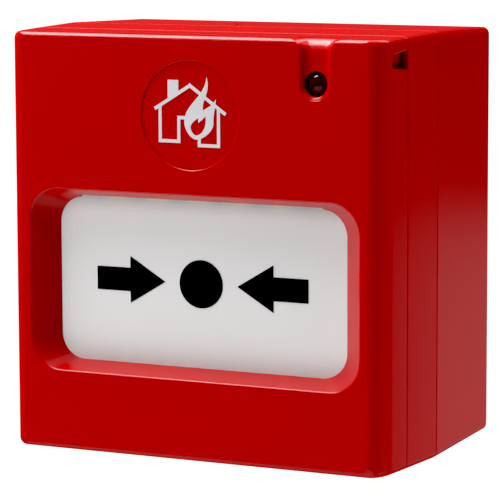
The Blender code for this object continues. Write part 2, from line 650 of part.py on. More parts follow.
def test_cam(axis):
    """Key-driven cam: slotted head, shaft and an eccentric nose."""
    centre = (0.0, y_of(CAM_DEPTH))
    profile = ((-0.0429, 0.0032), (-0.0427, 0.0034), (-0.0392, 0.0034), (-0.0392, 0.0022), (-0.033, 0.0022))
    cam = turned("test_cam", profile, "Z", centre)
    nose = [(centre[0] + 0.0028 * math.cos(a) + 0.0006, centre[1] + 0.0028 * math.sin(a))
            for a in (2 * math.pi * i / 20 for i in range(20))]
    add(cam, prism("cam_nose", nose, "Z", -0.0343, -0.033))
    slot_depths = (CAM_DEPTH - 0.0008, CAM_DEPTH + 0.0008)
    cut(cam, box("cam_key_slot", (-0.0025, 0.0025), slot_depths, (-0.044, -0.0405)))
    return finish(cam, "grey_plastic", axis.location, axis)


def test_cam_spring():
    spring = coil("test_cam_spring", 0.00285, 0.00025, 3, "Z", -0.0387, -0.0367, (0.0, y_of(CAM_DEPTH)))
    return finish(spring, "steel", (0.0, y_of(CAM_DEPTH), -0.0377))


def cover_latch(pivot):
    """Sprung arm at the bottom that holds the front cover shut."""
    depth, z = LATCH_PIVOT
    xs = (LATCH_X - LATCH_HALF, LATCH_X + LATCH_HALF)
    latch = box("cover_latch", xs, (0.0134, depth), (z - 0.0006, z + 0.0006))
    add(latch, box("latch_root", xs, (depth - 0.0012, depth + 0.0014), (z - 0.0014, z + 0.0011)))
    add(latch, box("latch_hook", xs, (0.0134, 0.0146), (-0.0442, z)))
    return finish(latch, "black_plastic", (LATCH_X, y_of(depth), z), pivot)


# ---------------------------------------------------------------- alarm switch

def switch_body():
    """Case of the microswitch, with ears for its lever."""
    front, back = 0.013, BOARD_FRONT - GAP
    body = box("switch_body", (-0.01, 0.01), (front, back), (-0.0032, 0.0032))
    x, depth = LEVER_PIVOT
    for side in (-1, 1):
        zs = sorted((side * 0.0018, side * 0.0028))
        add(body, box(f"lever_ear_{side}", (x - 0.0012, x + 0.0012), (depth - 0.0012, front + 0.0005), zs))
    cut(body, cylinder("ear_bore", 0.0008, "Z", -0.0031, 0.0031, (x, y_of(depth)), sides=12))
    cut(body, cylinder("plunger_bore", 0.0013, "Y", y_of(0.0128), y_of(0.0172), (PLUNGER_X, 0.0), sides=12))
    for i, x in enumerate(SWITCH_TERMINALS):
        cut(body, box(f"terminal_pocket_{i}", (x - 0.0019, x + 0.0019), (0.0184, 0.0222),
                      (-0.00055, 0.00055)))
    return finish(body, "black_plastic", (0.0, y_of(back), 0.0))


def switch_plunger(guide):
    plunger = cylinder("switch_plunger", 0.001, "Y", y_of(0.0117), y_of(0.016), (PLUNGER_X, 0.0), sides=12)
    return finish(plunger, "red_plastic", guide.location, guide)


def switch_lever(pivot):
    """Spring-steel lever, drawn straight along -X and turned forward to its rest angle."""
    reach, half_thick, half_width = LEVER_LENGTH, 0.00025, 0.0015
    strip = [(-reach, -half_thick), (0.0, -half_thick), (0.0, half_thick), (-reach, half_thick)]
    lever = prism("switch_lever", strip, "Z", -half_width, half_width)
    add(lever, cylinder("lever_barrel", 0.0009, "Z", -half_width, half_width, (0.0, 0.0), sides=12))
    add(lever, cylinder("lever_trunnion", 0.0005, "Z", -0.0028, 0.0028, (0.0, 0.0), sides=12))
    finish(lever, "steel", (0.0, 0.0, 0.0))
    lever.parent = pivot
    lever.rotation_euler.z = LEVER_REST
    return lever


def switch_terminals():
    for i, x in enumerate(SWITCH_TERMINALS, start=1):
        tab = box(f"switch_terminal_{i}", (x - 0.0016, x + 0.0016), (0.0187, 0.0254), (-0.00025, 0.00025))
        finish(tab, "brass", (x, y_of(BOARD_FRONT), 0.0))


# ---------------------------------------------------------------- circuit board

def circuit_board():
    """Board on the base plate's pillars, notched beside the two base screws."""
    board = rounded_plate("circuit_board", 0.031, -0.02, 0.04, 0.0015, BOARD_FRONT, BOARD_BACK)
    through = (y_of(BOARD_FRONT - 0.001), y_of(BOARD_BACK + 0.001))
    for side in (-1, 1):
        cut(board, cylinder(f"board_notch_{side}", 0.005, "Y", *through, (side * 0.0315, 0.0), sides=24))
    for x, z in BOARD_SCREWS:
        cut(board, cylinder(f"board_hole_{x:.3f}", 0.0014, "Y", *through, (x, z), sides=12))
    for i, x in enumerate(SWITCH_TERMINALS):
        cut(board, box(f"board_slot_{i}", (x - 0.0019, x + 0.0019), (BOARD_FRONT - 0.001, BOARD_BACK + 0.001),
                       (-0.00055, 0.00055)))
    return finish(board, "circuit_board", (0.0, y_of(BOARD_FRONT), 0.0))


def status_led():
    """Light-emitting diode behind the lens, standing on two legs."""
    profile = ((0.0082, 0.0005), (0.0084, 0.0010), (0.0089, 0.0014), (0.0097, 0.0015),
               (0.0134, 0.0015), (0.0134, 0.0019), (0.0142, 0.0019))
    led = turned("status_led", [(y_of(d), r) for d, r in profile], "Y", (LED_X, LED_Z), sides=16)
    for side in (-1, 1):
        x = LED_X + side * 0.00127
        add(led, box(f"led_leg_{side}", (x - 0.00025, x + 0.00025), (0.0140, BOARD_FRONT - GAP),
                     (LED_Z - 0.00025, LED_Z + 0.00025)))
    return finish(led, "dark_lens", (LED_X, y_of(BOARD_FRONT - GAP), LED_Z))


def line_resistor():
    """End-of-line resistor on the board's front."""
    z, depth, middle, half_lead = 0.03, 0.0202, -0.01, 0.0055
    profile = (
        (-half_lead, 0.0003), (-0.004, 0.0003), (-0.0038, 0.0011), (-0.0030, 0.0013), (-0.0024, 0.0011),
        (0.0024, 0.0011), (0.0030, 0.0013), (0.0038, 0.0011), (0.004, 0.0003), (half_lead, 0.0003),
    )
    resistor = turned("line_resistor", [(middle + x, r) for x, r in profile], "X", (y_of(depth), z), sides=12)
    for side in (-1, 1):
        x = middle + side * (half_lead - 0.0002)
        add(resistor, cylinder(f"resistor_leg_{side}", 0.0003, "Y", y_of(depth), y_of(BOARD_FRONT - GAP),
                               (x, z), sides=8))
    return finish(resistor, "resistor_body", (middle, y_of(depth), z))


def terminal_block():
    """Four-way block on the board's back, reached through the base plate's floor."""
    front, back = BOARD_BACK + GAP, 0.038
    block = box("terminal_block", (-0.02, 0.02), (front, back), (-0.019, -0.007))
    for i, x in enumerate(BLOCK_SCREWS):
        cut(block, cylinder(f"block_bore_{i}", 0.0021, "Y", y_of(0.031), y_of(back + 0.001),
                            (x, BLOCK_SCREW_Z), sides=12))
        cut(block, box(f"wire_entry_{i}", (x - 0.0016, x + 0.0016), (0.0285, 0.0318), (-0.02, -0.009)))
    return finish(block, "green_plastic", (0.0, y_of(front), -0.013))


# ---------------------------------------------------------------- fasteners

def screw(name, place, head_face, head, shank, way=1):
    """Cross-head screw; head and shank are (radius, length), and way 1 points into the wall."""
    (head_radius, head_height), (shank_radius, shank_length) = head, shank
    x, z = place
    rim = 0.0004
    seat = head_height
    tip = head_height + shank_length
    profile = ((0.0, head_radius - 2 * rim), (rim, head_radius), (seat, head_radius),
               (seat, shank_radius), (tip - rim, shank_radius), (tip, shank_radius - rim))
    stations = [(y_of(head_face + way * along), radius) for along, radius in profile]
    body = turned(name, stations, "Y", place, sides=12)
    wide, narrow = head_radius * 0.6, head_radius * 0.14
    recess = sorted((head_face - way * 0.001, head_face + way * head_height * 0.55))
    cross = box(f"{name}_recess", (x - wide, x + wide), recess, (z - narrow, z + narrow))
    add(cross, box(f"{name}_recess_upright", (x - narrow, x + narrow), recess, (z - wide, z + wide)))
    cut(body, cross)
    return finish(body, "steel", (x, y_of(head_face + way * head_height), z))


def screws():
    base_head, frame_head = (0.0032, 0.0024), (0.0024, 0.0015)
    board_head, clamp_head = (0.0022, 0.0015), (0.0018, 0.0012)
    for side, name in ((-1, "base_screw_left"), (1, "base_screw_right")):
        head_face = FLOOR_FRONT - GAP - base_head[1]
        screw(name, (side * BASE_SCREW_X, 0.0), head_face, base_head, (0.00175, 0.018))
    for i, place in enumerate(FRAME_SCREWS, start=1):
        screw(f"frame_screw_{i}", place, FRAME_FRONT - GAP - frame_head[1], frame_head, (0.0013, 0.0167))
    for i, place in enumerate(BOARD_SCREWS, start=1):
        screw(f"board_screw_{i}", place, BOARD_FRONT - GAP - board_head[1], board_head, (0.001, 0.0049))
    for i, x in enumerate(BLOCK_SCREWS, start=1):
        screw(f"terminal_screw_{i}", (x, BLOCK_SCREW_Z), 0.0372, clamp_head, (0.0012, 0.0026), way=-1)


# ---------------------------------------------------------------- assembly

def main():
    for obj in list(bpy.data.objects):
        bpy.data.objects.remove(obj, do_unlink=True)

    cover_hinge = axis_empty("cover_hinge_axis", 0.0, COVER_SEAM, outside(COVER_SEAM)[1])
    element_hinge = axis_empty("element_hinge_axis", 0.0, HINGE_DEPTH, HINGE_Z)
    flag_guide = axis_empty("flag_guide_axis", 0.0, FLAG_FRONT, FLAG_HIGH)
    lever_pivot = axis_empty("lever_pivot_axis", LEVER_PIVOT[0], LEVER_PIVOT[1], 0.0)
    plunger_guide = axis_empty("plunger_guide_axis", PLUNGER_X, 0.0117, 0.0)
    slider_guide = axis_empty("slider_guide_axis", SLIDER_X, SLIDER_FRONT, -0.0429)
    cam_axis = axis_empty("cam_turning_axis", 0.0, CAM_DEPTH, -0.0429)
    latch_pivot = axis_empty("latch_flex_axis", LATCH_X, *LATCH_PIVOT)

    back_box()
    base_plate()
    mechanism_frame()
    element_pin()
    element_spring()
    reset_spring()
    test_cam_spring()
    switch_body()
    switch_terminals()
    circuit_board()
    status_led()
    line_resistor()
    terminal_block()
    screws()

    front_cover(cover_hinge)
    pictogram(cover_hinge)
    led_lens(cover_hinge)
    operating_element(element_hinge)
    target_prints(element_hinge)
    alarm_flag(flag_guide)
    switch_lever(lever_pivot)
    switch_plunger(plunger_guide)
    reset_slider(slider_guide)
    test_cam(cam_axis)
    cover_latch(latch_pivot)


main()
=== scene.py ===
"""Looks of the manual call point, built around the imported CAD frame.

Lengths are metres in the CAD frame: the origin is the centre of the wall face, +X is the
viewer's right, +Y runs into the wall and +Z is up.  Depths are counted from the front face.
"""

import json
import math

import bmesh
import bpy
from mathutils import Matrix, Vector


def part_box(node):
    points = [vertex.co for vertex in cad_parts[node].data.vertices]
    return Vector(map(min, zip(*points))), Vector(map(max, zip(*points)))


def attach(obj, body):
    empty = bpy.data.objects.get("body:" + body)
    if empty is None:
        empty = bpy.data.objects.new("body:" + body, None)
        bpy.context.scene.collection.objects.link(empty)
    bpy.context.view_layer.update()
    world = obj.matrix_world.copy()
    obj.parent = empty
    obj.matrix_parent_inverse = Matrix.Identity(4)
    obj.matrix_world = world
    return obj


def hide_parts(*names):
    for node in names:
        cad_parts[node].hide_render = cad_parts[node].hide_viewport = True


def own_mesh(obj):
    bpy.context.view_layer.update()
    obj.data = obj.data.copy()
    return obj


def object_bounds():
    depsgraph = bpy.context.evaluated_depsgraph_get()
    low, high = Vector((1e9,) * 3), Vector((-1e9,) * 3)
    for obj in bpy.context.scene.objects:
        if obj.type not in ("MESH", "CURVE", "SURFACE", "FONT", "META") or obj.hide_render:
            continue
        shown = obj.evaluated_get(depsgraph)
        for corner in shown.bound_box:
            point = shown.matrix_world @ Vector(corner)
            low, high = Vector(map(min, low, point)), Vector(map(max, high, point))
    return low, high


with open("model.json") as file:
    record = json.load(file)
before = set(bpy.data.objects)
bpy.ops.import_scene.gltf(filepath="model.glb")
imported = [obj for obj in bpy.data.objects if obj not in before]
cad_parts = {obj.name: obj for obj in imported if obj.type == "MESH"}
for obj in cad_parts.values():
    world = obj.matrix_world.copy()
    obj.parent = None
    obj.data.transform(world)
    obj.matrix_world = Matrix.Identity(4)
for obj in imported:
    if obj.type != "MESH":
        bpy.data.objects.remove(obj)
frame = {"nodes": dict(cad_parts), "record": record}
cad_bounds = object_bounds()

# ---------------------------------------------------------------- sizes

FRONT_Y = cad_bounds[0].y
DEPTH = cad_bounds[1].y - FRONT_Y
COVER_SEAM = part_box("base_plate")[0].y - FRONT_Y        # front edge of the base plate
BOX_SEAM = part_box("back_box")[0].y - FRONT_Y            # front edge of the back box
GAP = 0.0003                    # clearance between neighbouring pieces
SEAM_CLOSED = 0.00009           # how far each edge reaches into the gap at a seam
OUTSIDE = (                     # depth, half width, half height of the outside
    (0.0, 0.0449, 0.0459),
    (0.0125, 0.0452, 0.0462),
    (0.028, 0.0455, 0.0465),
    (0.0595, 0.0447, 0.0457),
)
CORNER = 0.0015                 # radius of the housing's long edges
INNER_CORNER = 0.0006
SIDE_FILLET = 0.0036            # width and depth of the front edge's rounding at the sides
SIDE_REACH = 0.005
END_FILLET = 0.001              # the same at the top and bottom, as wide as deep
SEAM_ROUND = 0.0003             # rounding of the edges that meet at a seam
BACK_ROUND = 0.0005             # rounding of the edge at the wall
WALL = 0.0024                   # walls of the cover and the base plate
FRONT_WALL = 0.002
LIP = 0.001                     # lip of the base plate outside the cover's tongue
LAP = 0.0021                    # how far the tongue reaches behind the seam
BOX_WALL = 0.0022
BOX_FLOOR = 0.0025

WINDOW_HALF = 0.0398            # press window at the front face
WINDOW_LOW, WINDOW_HIGH = -0.0283, 0.0119
WINDOW_CORNER = 0.007
WINDOW_LIP = 0.00035            # rounding of its edge
WINDOW_DEPTH = 0.0047           # depth at which the funnel has drawn in by the sizes below
FUNNEL_SIDE = 0.0049
FUNNEL_BOTTOM = 0.0019
FUNNEL_TOP = 0.002
FUNNEL_CORNER = 0.0012
ELEMENT_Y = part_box("print_dot")[1].y + GAP          # the plate's face, just behind its prints
COLLAR_BACK = ELEMENT_Y - FRONT_Y - 0.00006         # the collar ends just in front of the plate

RECESS_RADIUS = 0.01175         # round recess of the pictogram
RECESS_Z = 0.029
RECESS_DEPTH = 0.00032

LENS_LOW, LENS_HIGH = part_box("led_lens")
LED_X = (LENS_LOW.x + LENS_HIGH.x) / 2
LED_Z = (LENS_LOW.z + LENS_HIGH.z) / 2
LENS_RADIUS = 0.0023
LENS_HOLE = 0.0027
NOTCH_X = LED_X + 0.0003        # notch that runs from the status light to the top
NOTCH_HALF = 0.0037
NOTCH_DEPTH = 0.0014
NOTCH_FALL = 0.0028             # stretch below the top where it widens and its floor falls back

FLAG_LOW, FLAG_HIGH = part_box("alarm_flag")
DOT_LOW, DOT_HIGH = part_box("print_dot")
TARGET_Z = (DOT_LOW.z + DOT_HIGH.z) / 2             # middle of the dot and the arrows

CAM_DEPTH = 0.0072              # axis of the test cam
SLIDER_LOW, SLIDER_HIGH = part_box("reset_slider")
LATCH_LOW, LATCH_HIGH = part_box("cover_latch")
BASE_SCREW_X = 0.03015          # half the distance between the base screws


# ---------------------------------------------------------------- mesh helpers

def y_of(depth):
    """Y of a plane that lies depth behind the front face."""
    return FRONT_Y + depth


def link(name, data):
    """New object in the scene."""
    obj = bpy.data.objects.new(name, data)
    bpy.context.scene.collection.objects.link(obj)
    return obj


def mesh_from(name, bm):
    """Object made from a finished bmesh, with its faces turned outwards."""
    bmesh.ops.recalc_face_normals(bm, faces=bm.faces)
    mesh = bpy.data.meshes.new(name)
    bm.to_mesh(mesh)
    bm.free()
    return link(name, mesh)


def loft(name, loops, ladder=False):
    """Skin a row of closed loops and cap both ends; ladder caps the last loop with rungs."""
    bm = bmesh.new()
    rings = [[bm.verts.new(point) for point in loop] for loop in loops]
    count = len(rings[0])
    for ring, following in zip(rings, rings[1:]):
        for i in range(count):
            j = (i + 1) % count
            bm.faces.new((ring[i], ring[j], following[j], following[i]))
    bm.faces.new(reversed(rings[0]))
    if ladder:
        last = rings[-1]
        for i in range((count - 1) // 2):
            rung = [last[i], last[i + 1], last[count - 2 - i], last[count - 1 - i]]
            bm.faces.new(list(dict.fromkeys(rung)))
    else:
        bm.faces.new(rings[-1])
    return mesh_from(name, bm)


def spatial(axis, along, u, v):
    """Point that lies at (u, v) across an axis: (y, z), (x, z) or (x, y)."""
    return {"X": (along, u, v), "Y": (u, along, v), "Z": (u, v, along)}[axis]


def prism(name, outline, axis, low, high):
    """Solid with one outline from low to high along an axis."""
    return loft(name, [[spatial(axis, end, u, v) for u, v in outline] for end in (low, high)])


def circle(radius, centre=(0.0, 0.0), sides=48):
    turns = [2 * math.pi * i / sides for i in range(sides)]
    return [(centre[0] + radius * math.cos(t), centre[1] + radius * math.sin(t)) for t in turns]


def turned(name, profile, axis, centre, sides=48):
    """Solid of revolution from (place along the axis, radius) pairs."""
    loops = []
    for along, radius in profile:
        loops.append([spatial(axis, along, u, v) for u, v in circle(radius, centre, sides)])
    return loft(name, loops)


def box(name, xs, depths, zs):
    """Solid between two values of X, of depth and of Z."""
    outline = [(xs[0], zs[0]), (xs[1], zs[0]), (xs[1], zs[1]), (xs[0], zs[1])]
    return prism(name, outline, "Y", y_of(depths[0]), y_of(depths[1]))


def rounded(half_width, low, high, radius, steps=8):
    """Outline of a rounded rectangle that is symmetric about x = 0."""
    across, bottom, top = half_width - radius, low + radius, high - radius
    corners = ((across, bottom, -90), (across, top, 0), (-across, top, 90), (-across, bottom, 180))
    points = []
    for x, z, start in corners:
        for step in range(steps + 1):
            angle = math.radians(start + 90 * step / steps)
            points.append((x + radius * math.cos(angle), z + radius * math.sin(angle)))
    return points


def edge_profile(radius, steps=6):
    """(depth, inset) pairs of a quarter-round edge, from its face to its side."""
    turns = [math.pi / 2 * i / steps for i in range(steps + 1)]
    return [(radius - radius * math.cos(t), radius - radius * math.sin(t)) for t in turns]


def combine(target, operation, tools):
    """Apply a Boolean with each tool and throw the tools away."""
    for tool in tools:
        modifier = target.modifiers.new(tool.name, "BOOLEAN")
        modifier.operation = operation
        modifier.solver = "EXACT"
        modifier.object = tool
    depsgraph = bpy.context.evaluated_depsgraph_get()
    result = bpy.data.meshes.new_from_object(target.evaluated_get(depsgraph))
    target.modifiers.clear()
    target.data = result
    for tool in tools:
        bpy.data.objects.remove(tool)


def add(target, *tools):
    """Join tools to a piece."""
    combine(target, "UNION", tools)


def cut(target, *tools):
    """Take tools out of a piece."""
    combine(target, "DIFFERENCE", tools)


def smooth(obj, angle=32):
    """Smooth shading up to an angle, with normals weighted by face area."""
    obj.data.shade_smooth()
    obj.data.set_sharp_from_angle(angle=math.radians(angle))
    weighted = obj.modifiers.new("face weighted normals", "WEIGHTED_NORMAL")
    weighted.keep_sharp = True
    weighted.weight = 100
    return obj


def dress(obj, material, body, slot, *nodes):
    """Give a finished piece its material, its body and the CAD nodes that it stands for."""
    obj.data.materials.clear()
    obj.data.materials.append(material)
    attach(obj, body)
    if nodes:
        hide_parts(*nodes)
    return obj


# ---------------------------------------------------------------- materials

GRAIN_SCALE = 3600.0            # grains of moulded plastic per metre
FLAG_YELLOW, FLAG_BLACK = (0.85, 0.52, 0.01), (0.012, 0.012, 0.012)
FLAG_BAR = 0.0025               # half of a bar's width, counted along X


def node_material(name, colour, roughness, metallic=0.0):
    """Principled material and the parts of its tree that the surface functions build on."""
    material = bpy.data.materials.new(name)
    material.use_nodes = True
    tree = material.node_tree
    shader = tree.nodes["Principled BSDF"]
    shader.inputs["Base Color"].default_value = (*colour, 1.0)
    shader.inputs["Roughness"].default_value = roughness
    shader.inputs["Metallic"].default_value = metallic
    return material, tree, shader


def object_noise(tree, scale, detail=3.0, stretch=(1.0, 1.0, 1.0)):
    """Noise in the piece's own coordinates; scale counts features per metre."""
    place = tree.nodes.new("ShaderNodeTexCoord")
    mapping = tree.nodes.new("ShaderNodeMapping")
    mapping.inputs["Scale"].default_value = stretch
    noise = tree.nodes.new("ShaderNodeTexNoise")
    noise.inputs["Scale"].default_value = scale
    noise.inputs["Detail"].default_value = detail
    tree.links.new(place.outputs["Object"], mapping.inputs["Vector"])
    tree.links.new(mapping.outputs["Vector"], noise.inputs["Vector"])
    return noise.outputs["Fac"]


def remap(tree, value, low, high):
    """Spread the middle of a noise value over low to high."""
    ramp = tree.nodes.new("ShaderNodeMapRange")
    ramp.inputs["From Min"].default_value = 0.3
    ramp.inputs["From Max"].default_value = 0.7
    ramp.inputs["To Min"].default_value = low
    ramp.inputs["To Max"].default_value = high
    tree.links.new(value, ramp.inputs["Value"])
    return ramp.outputs["Result"]


def mix_colours(tree, share, first, second):
    """Colour between two, by a share that varies over the surface."""
    mix = tree.nodes.new("ShaderNodeMix")
    mix.data_type = "RGBA"
    mix.inputs["A"].default_value = (*first, 1.0)
    mix.inputs["B"].default_value = (*second, 1.0)
    tree.links.new(share, mix.inputs["Factor"])
    return mix.outputs["Result"]


def bump(tree, shader, height, distance):
    """Relief from a height value; distance is its full height in metres."""
    node = tree.nodes.new("ShaderNodeBump")
    node.inputs["Strength"].default_value = 1.0
    node.inputs["Distance"].default_value = distance
    tree.links.new(height, node.inputs["Height"])
    tree.links.new(node.outputs["Normal"], shader.inputs["Normal"])


def moulded_plastic(name, colour, shade, roughness, gloss=0.4, grain=0.000008):
    """Moulded plastic: fine spark-erosion grain, cloudy gloss and a faint flow in the colour.

    Shade is the darkest of the flow as a share of the colour, and grain is its height.
    """
    material, tree, shader = node_material(name, colour, roughness)
    shader.inputs["Specular IOR Level"].default_value = gloss
    darker = tuple(shade * channel for channel in colour)
    flow = remap(tree, object_noise(tree, 60.0, 2.0), 0.0, 1.0)
    tree.links.new(mix_colours(tree, flow, darker, colour), shader.inputs["Base Color"])
    cloud = remap(tree, object_noise(tree, 240.0, 2.0), roughness * 0.985, roughness * 1.015)
    tree.links.new(cloud, shader.inputs["Roughness"])
    bump(tree, shader, object_noise(tree, GRAIN_SCALE, 2.0), grain)
    return material


def metal(name, colour, roughness):
    """Plated metal with fine scratches along X."""
    material, tree, shader = node_material(name, colour, roughness, 1.0)
    scratches = object_noise(tree, 900.0, 3.0, (0.2, 3.0, 3.0))
    wear = remap(tree, scratches, roughness * 0.75, roughness * 1.35)
    tree.links.new(wear, shader.inputs["Roughness"])
    bump(tree, shader, scratches, 0.000003)
    return material


def striped_flag():
    """Yellow plastic with slanting black bars, as wide as they are apart."""
    material, tree, shader = node_material("yellow and black flag plastic", FLAG_YELLOW, 0.35)
    place = tree.nodes.new("ShaderNodeTexCoord")
    axes = tree.nodes.new("ShaderNodeSeparateXYZ")
    tree.links.new(place.outputs["Object"], axes.inputs["Vector"])
    slant = tree.nodes.new("ShaderNodeMath")
    slant.operation = "ADD"
    tree.links.new(axes.outputs["X"], slant.inputs[0])
    tree.links.new(axes.outputs["Z"], slant.inputs[1])
    bars = tree.nodes.new("ShaderNodeMath")
    bars.operation = "PINGPONG"
    bars.inputs[1].default_value = 2 * FLAG_BAR
    tree.links.new(slant.outputs["Value"], bars.inputs[0])
    black = tree.nodes.new("ShaderNodeMath")
    black.operation = "GREATER_THAN"
    black.inputs[1].default_value = FLAG_BAR
    tree.links.new(bars.outputs["Value"], black.inputs[0])
    mixed = mix_colours(tree, black.outputs["Value"], FLAG_YELLOW, FLAG_BLACK)
    tree.links.new(mixed, shader.inputs["Base Color"])
    bump(tree, shader, object_noise(tree, GRAIN_SCALE, 2.0), 0.000004)
    return material


def board_material():
    """Green solder mask over faint copper areas."""
    material, tree, shader = node_material("green solder mask", (0.012, 0.11, 0.035), 0.32)
    copper = remap(tree, object_noise(tree, 420.0, 0.0), 0.0, 1.0)
    mixed = mix_colours(tree, copper, (0.008, 0.085, 0.026), (0.022, 0.16, 0.055))
    tree.links.new(mixed, shader.inputs["Base Color"])
    bump(tree, shader, copper, 0.00003)
    return material


def lens_material():
    """Dark red, glossy and faintly wavy."""
    material, tree, shader = node_material("dark red lens", (0.035, 0.0008, 0.0012), 0.04)
    shader.inputs["Coat Weight"].default_value = 0.6
    shader.inputs["Coat Roughness"].default_value = 0.03
    bump(tree, shader, object_noise(tree, 900.0), 0.000002)
    return material


def make_materials():
    """Every material, by the record's slot that it is for."""
    return {
        "red_plastic": moulded_plastic(
            "red moulded plastic", (0.47, 0.0004, 0.0006), 0.98, 0.24, gloss=0.55, grain=0.000003),
        "white_plastic": moulded_plastic(
            "white moulded plastic", (0.80, 0.795, 0.795), 0.985, 0.38, gloss=0.3, grain=0.000004),
        "black_print": moulded_plastic(
            "black symbol print", (0.002, 0.002, 0.002), 0.8, 0.5, gloss=0.15, grain=0.000003),
        "white_print": moulded_plastic(
            "white symbol print", (0.70, 0.685, 0.70), 0.9, 0.55, gloss=0.2, grain=0.000006),
        "yellow_plastic": striped_flag(),
        "black_plastic": moulded_plastic("black moulded plastic", (0.022, 0.022, 0.024), 0.8, 0.42),
        "grey_plastic": moulded_plastic("grey moulded plastic", (0.28, 0.285, 0.29), 0.93, 0.42),
        "green_plastic": moulded_plastic("green terminal plastic", (0.02, 0.24, 0.075), 0.92, 0.4),
        "plunger_plastic": moulded_plastic("red plunger plastic", (0.5, 0.02, 0.01), 0.92, 0.3),
        "dark_lens": lens_material(),
        "steel": metal("zinc plated steel", (0.62, 0.62, 0.60), 0.28),
        "brass": metal("tinned brass", (0.72, 0.56, 0.30), 0.3),
        "circuit_board": board_material(),
        "resistor_body": moulded_plastic("resistor lacquer", (0.55, 0.40, 0.24), 0.9, 0.35),
    }


# ---------------------------------------------------------------- housing shells

def outside(depth):
    """Half width and half height of the housing at a depth."""
    for (d0, w0, h0), (d1, w1, h1) in zip(OUTSIDE, OUTSIDE[1:]):
        if depth <= d1:
            break
    share = (depth - d0) / (d1 - d0)
    return w0 + share * (w1 - w0), h0 + share * (h1 - h0)


def shell(name, stations, corner=CORNER):
    """Loft that follows the housing, from (depth, side inset, end inset) stations."""
    loops = []
    for depth, side_inset, end_inset in stations:
        half_width, half_height = outside(depth)
        top = half_height - end_inset
        outline = rounded(half_width - side_inset, -top, top, corner)
        loops.append([(x, y_of(depth), z) for x, z in outline])
    return loft(name, loops)


def sleeve(name, front, back, inset):
    """Stretch of the housing's inside, drawn in evenly from its outside."""
    return shell(name, ((front, inset, inset), (back, inset, inset)), INNER_CORNER)


def band(name, front, back, front_round, back_round):
    """Stretch of the housing's outside with rounded edges at both ends."""
    rising = [(front + d, inset, inset) for d, inset in edge_profile(front_round, 3)]
    falling = [(back - d, inset, inset) for d, inset in reversed(edge_profile(back_round, 3))]
    return shell(name, rising + falling)


def fillet_inset(width, depth, reach=None):
    """How far a rounded edge is drawn in at a depth; its reach is its width unless given."""
    reach = reach or width
    if depth >= reach:
        return 0.0
    return width * (1 - math.sqrt(1 - (1 - depth / reach) ** 2))


def funnel(name, stations):
    """Loft that follows the press window, from (depth, side growth, end growth) stations."""
    loops = []
    for depth, side, end in stations:
        share = depth / WINDOW_DEPTH
        outline = rounded(
            WINDOW_HALF - FUNNEL_SIDE * share + side,
            WINDOW_LOW + FUNNEL_BOTTOM * share - end,
            WINDOW_HIGH - FUNNEL_TOP * share + end,
            WINDOW_CORNER - FUNNEL_CORNER * share + (side + end) / 2,
            steps=16,
        )
        loops.append([(x, y_of(depth), z) for x, z in outline])
    return loft(name, loops)


def window_cutter():
    """Funnel with a softly rounded lip at the front face."""
    lip = [(depth, growth, growth) for depth, growth in edge_profile(WINDOW_LIP, 8)]
    return funnel("window_cutter", [(-0.001, WINDOW_LIP, WINDOW_LIP)] + lip + [(0.0055, 0.0, 0.0)])


def recess_cutter():
    """Shallow disc with a rounded rim and a small fillet at its floor."""
    rim, floor_fillet = 0.0002, 0.00012
    profile = [(y_of(-0.001), RECESS_RADIUS + rim)]
    profile += [(y_of(d), RECESS_RADIUS + growth) for d, growth in edge_profile(rim, 4)]
    for depth, inset in reversed(edge_profile(floor_fillet, 4)):
        profile.append((y_of(RECESS_DEPTH - depth), RECESS_RADIUS - inset))
    return turned("recess_cutter", profile, "Y", (0.0, RECESS_Z), sides=128)


def notch_outline(half_width, depth, flare, fall):
    """U-shaped loop from the left top round the bottom to the right top.

    Near the top face the sides swing outwards by flare, the floor falls back by fall, and the
    whole loop follows the cover's rounded front edge.
    """
    top, bottom_steps, rows, right = outside(NOTCH_DEPTH)[1], 16, 12, []
    for i in range(bottom_steps + 1):
        angle = math.radians(-90 + 90 * i / bottom_steps)
        right.append((half_width * math.cos(angle), LED_Z + half_width * math.sin(angle), depth))
    for i in range(rows + 1):
        z = top - NOTCH_FALL * (1 - math.sin(math.pi / 2 * i / rows))
        out = fillet_inset(flare, top - z, NOTCH_FALL)
        back = fillet_inset(fall, top - z) if fall else 0.0
        edge = fillet_inset(END_FILLET, top - z) * (1 - min(depth / NOTCH_DEPTH, 1.0))
        right.append((half_width + out, z, depth + max(back, edge)))
    last = right[-1]
    right.append((last[0], top + 0.003, last[2]))
    left = [(-x, z, d) for x, z, d in reversed(right[1:])]
    return [(NOTCH_X + x, y_of(d), z) for x, z, d in left + right]


def notch_cutter():
    """Notch from the status light to the top face, soft on every edge."""
    rim, floor_width, floor_depth, flare = 0.0004, 0.0021, 0.001, 0.003
    loops = [notch_outline(NOTCH_HALF, -0.001, flare, 0.0)]
    for depth, growth in edge_profile(rim, 5):
        loops.append(notch_outline(NOTCH_HALF - rim + growth, depth, flare, 0.0))
    for depth, inset in reversed(edge_profile(1.0, 8)):
        half_width = NOTCH_HALF - rim - inset * floor_width
        fall = NOTCH_FALL * (1 - depth)
        loops.append(notch_outline(half_width, NOTCH_DEPTH - depth * floor_depth, flare, fall))
    return loft("notch_cutter", loops, ladder=True)


